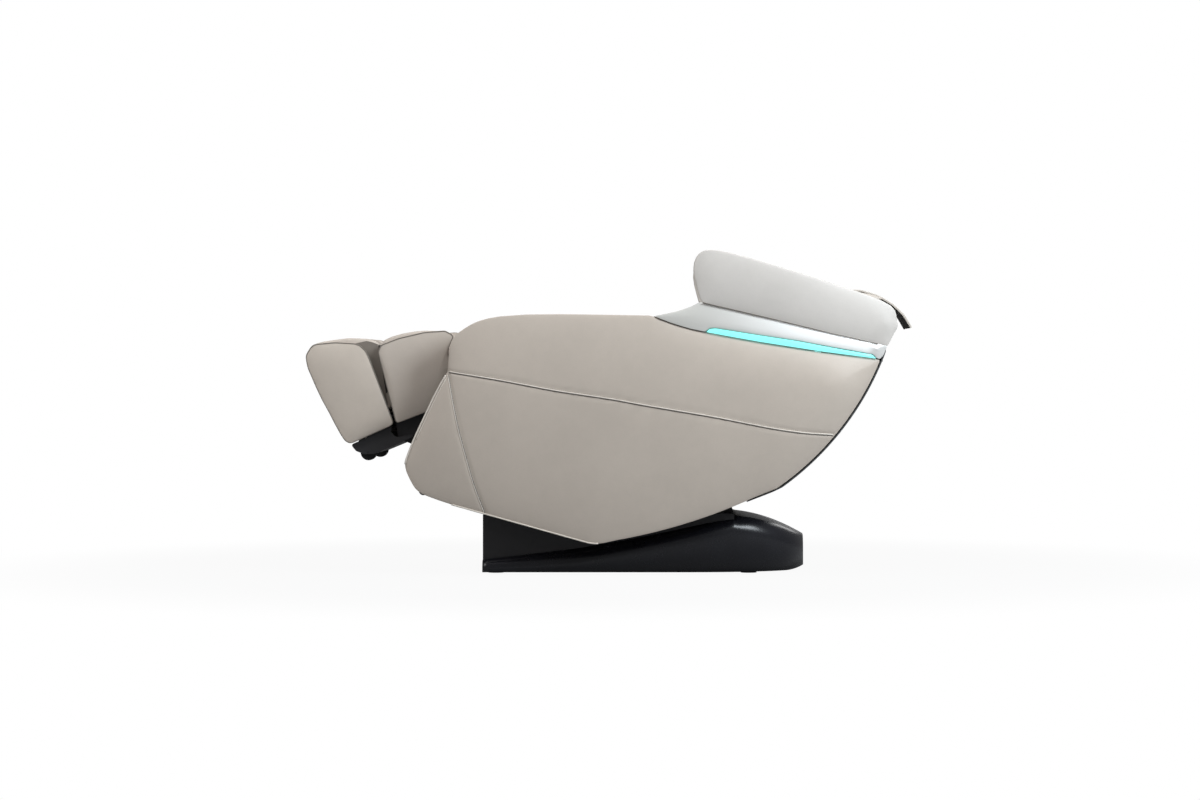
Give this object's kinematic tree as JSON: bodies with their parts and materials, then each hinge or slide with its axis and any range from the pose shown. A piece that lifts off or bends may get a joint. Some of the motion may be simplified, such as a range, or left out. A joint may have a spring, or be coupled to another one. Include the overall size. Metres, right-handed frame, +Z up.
{
  "type": "massage chair",
  "caption": "Reclining massage chair: rocking capsule with winged headrest and lit side trims, extending leg rest with calf and foot wells, travelling back massage unit.",
  "frame": {"origin": "on the floor, under the middle of the chair's length and width", "axes": "+X from the feet to the head, +Y to the sitter's right, +Z up"},
  "size_m": [1.8235, 0.77, 0.9635],
  "materials": {
    "leather_taupe": "soft taupe leather with fine grain",
    "leather_pale": "lighter greige leather",
    "leather_wing": "smooth pale leather",
    "silver_trim": "satin silver lacquer",
    "light": "lit cyan diffuser",
    "black_plastic": "matte black",
    "black_gloss": "smooth black",
    "steel": "bare steel",
    "black_steel": "black enamel",
    "grey_plastic": "dark grey",
    "rubber": "matt",
    "airbag": "coated cloth",
    "roller_soft": "soft grey-brown",
    "board": "green board",
    "button_green": "smooth"
  },
  "bodies": {
    "base": {"base_frame": "black_steel", "base_box_cover": "black_plastic", "base_skirt": "black_gloss", "rubber_feet": "rubber", "slide_rails": "steel", "power_unit": "grey_plastic", "power_inlet": "black_plastic", "air_pump": "black_plastic", "control_board": "board"},
    "switch": {"power_switch": "black_gloss"},
    "transport_wheels": {"transport_wheels": "rubber"},
    "carriage": {"carriage_frame": "black_steel"},
    "tilt_motor": {"tilt_actuator_body": "black_plastic"},
    "tilt_rod": {"tilt_actuator_rod": "steel"},
    "capsule": {"seat_frame": "black_steel", "cross_tubes": "black_steel", "shell_hoops": "black_steel", "tilt_shaft": "steel", "massage_rails": "steel", "side_panel_left": "leather_taupe", "side_panel_right": "leather_taupe", "shoulder_trims": "silver_trim", "light_strips": "light", "wing_left": "leather_wing", "wing_right": "leather_wing", "back_cover": "black_plastic", "seat_underpan": "black_plastic", "seat_cushion": "leather_taupe", "knee_roll": "leather_taupe", "back_cushion": "leather_taupe", "head_pillow": "leather_pale", "arm_left": "leather_pale", "arm_right": "leather_pale", "arm_airbags": "airbag", "valve_block": "grey_plastic", "control_panel": "black_gloss"},
    "start_button": {"start_button": "button_green"},
    "pause_button": {"pause_button": "silver_trim"},
    "recline_rocker": {"recline_rocker": "grey_plastic"},
    "leg_rocker": {"leg_rocker": "grey_plastic"},
    "massage_unit": {"massage_carriage": "grey_plastic"},
    "pinions": {"travel_pinions": "steel"},
    "knead_left": {"knead_arm_left": "steel"},
    "knead_right": {"knead_arm_right": "steel"},
    "roller_upper_left": {"roller_upper_left": "roller_soft"},
    "roller_lower_left": {"roller_lower_left": "roller_soft"},
    "roller_upper_right": {"roller_upper_right": "roller_soft"},
    "roller_lower_right": {"roller_lower_right": "roller_soft"},
    "leg": {"leg_frame": "black_steel", "calf_shells": "leather_taupe", "calf_cushion": "leather_pale", "leg_underpan": "black_plastic"},
    "lift_motor": {"lift_actuator_body": "black_plastic"},
    "lift_rod": {"lift_actuator_rod": "steel"},
    "foot": {"foot_frame": "black_steel", "foot_shells": "leather_taupe", "foot_cushion": "leather_pale", "foot_sled": "black_plastic"},
    "foot_roller": {"foot_roller": "roller_soft"},
    "foot_wheels": {"foot_wheels": "rubber"}
  },
  "joints": [
    {"name": "carriage_slide", "type": "slide", "parent": "base", "child": "carriage", "axis": [1, 0, 0], "range_m": [0, 0.06]},
    {"name": "recline_tilt", "type": "hinge", "parent": "carriage", "child": "capsule", "pos_m": [-0.03, 0, 0.245], "axis": [0, -1, 0], "range_deg": [0, 24]},
    {"name": "tilt_motor_swing", "type": "hinge", "parent": "carriage", "child": "tilt_motor", "pos_m": [-0.285, 0, 0.145], "axis": [0, -1, 0], "range_deg": [-2, 3]},
    {"name": "tilt_rod_slide", "type": "slide", "parent": "tilt_motor", "child": "tilt_rod", "axis": [1, 0, 0], "range_m": [-0.002, 0.045]},
    {"name": "leg_lift", "type": "hinge", "parent": "capsule", "child": "leg", "pos_m": [-0.431, 0, 0.663], "axis": [0, 1, 0], "range_deg": [-28, 24]},
    {"name": "lift_motor_swing", "type": "hinge", "parent": "capsule", "child": "lift_motor", "pos_m": [-0.17, 0, 0.33], "axis": [0, -1, 0], "range_deg": [-4, 4]},
    {"name": "lift_rod_slide", "type": "slide", "parent": "lift_motor", "child": "lift_rod", "axis": [-0.7359, 0, 0.6771], "range_m": [-0.034, 0.03]},
    {"name": "foot_extension", "type": "slide", "parent": "leg", "child": "foot", "axis": [-0.91, 0, -0.4147], "range_m": [0, 0.15]},
    {"name": "foot_wheel_spin", "type": "hinge", "parent": "foot", "child": "foot_wheels", "pos_m": [-0.7332, 0, 0.36154], "axis": [0, 1, 0], "continuous": true},
    {"name": "foot_roller_spin", "type": "hinge", "parent": "foot", "child": "foot_roller", "pos_m": [-0.83625, 0, 0.54426], "axis": [0, 1, 0], "continuous": true},
    {"name": "massage_travel", "type": "slide", "parent": "capsule", "child": "massage_unit", "axis": [0.8876, 0, 0.4606], "range_m": [-0.19, 0.19]},
    {"name": "pinion_spin", "type": "hinge", "parent": "massage_unit", "child": "pinions", "pos_m": [0.52139, 0, 0.51548], "axis": [0, -1, 0], "continuous": true},
    {"name": "knead_left", "type": "hinge", "parent": "massage_unit", "child": "knead_left", "pos_m": [0.44885, 0, 0.48592], "axis": [0, 1, 0], "range_deg": [-12, 12]},
    {"name": "knead_right", "type": "hinge", "parent": "massage_unit", "child": "knead_right", "pos_m": [0.44885, 0, 0.48592], "axis": [0, 1, 0], "range_deg": [-12, 12]},
    {"name": "roller_upper_left_spin", "type": "hinge", "parent": "knead_left", "child": "roller_upper_left", "pos_m": [0.47129, 0, 0.54038], "axis": [0, 1, 0], "continuous": true},
    {"name": "roller_lower_left_spin", "type": "hinge", "parent": "knead_left", "child": "roller_lower_left", "pos_m": [0.39141, 0, 0.49892], "axis": [0, 1, 0], "continuous": true},
    {"name": "roller_upper_right_spin", "type": "hinge", "parent": "knead_right", "child": "roller_upper_right", "pos_m": [0.47129, 0, 0.54038], "axis": [0, 1, 0], "continuous": true},
    {"name": "roller_lower_right_spin", "type": "hinge", "parent": "knead_right", "child": "roller_lower_right", "pos_m": [0.39141, 0, 0.49892], "axis": [0, 1, 0], "continuous": true},
    {"name": "start_press", "type": "slide", "parent": "capsule", "child": "start_button", "axis": [0, 0, -1], "range_m": [0, 0.0015], "stiffness_N_per_m": 400},
    {"name": "pause_press", "type": "slide", "parent": "capsule", "child": "pause_button", "axis": [0, 0, -1], "range_m": [0, 0.0015], "stiffness_N_per_m": 400},
    {"name": "recline_rock", "type": "hinge", "parent": "capsule", "child": "recline_rocker", "pos_m": [0.0855, 0.292, 0.761], "axis": [0, 1, 0], "range_deg": [-6, 6], "stiffness_Nm_per_rad": 0.4},
    {"name": "leg_rock", "type": "hinge", "parent": "capsule", "child": "leg_rocker", "pos_m": [0.0855, 0.318, 0.761], "axis": [0, 1, 0], "range_deg": [-6, 6], "stiffness_Nm_per_rad": 0.4},
    {"name": "switch_rock", "type": "hinge", "parent": "base", "child": "switch", "pos_m": [0.564, 0.022, 0.041], "axis": [0, 0, 1], "range_deg": [-5, 5]},
    {"name": "transport_spin", "type": "hinge", "parent": "base", "child": "transport_wheels", "pos_m": [0.47, 0, 0.024], "axis": [0, 1, 0], "continuous": true}
  ],
  "couplings": [
    {"joint": "carriage_slide", "follows": "recline_tilt", "m_per_rad": 0.14324},
    {"joint": "tilt_motor_swing", "follows": "recline_tilt", "ratio": 0.0593},
    {"joint": "tilt_rod_slide", "follows": "recline_tilt", "m_per_rad": 0.09805},
    {"joint": "lift_motor_swing", "follows": "leg_lift", "ratio": 0.0426},
    {"joint": "lift_rod_slide", "follows": "leg_lift", "m_per_rad": 0.06483},
    {"joint": "pinion_spin", "follows": "massage_travel", "rad_per_m": 74.8},
    {"joint": "knead_right", "follows": "knead_left", "ratio": -1}
  ]
}
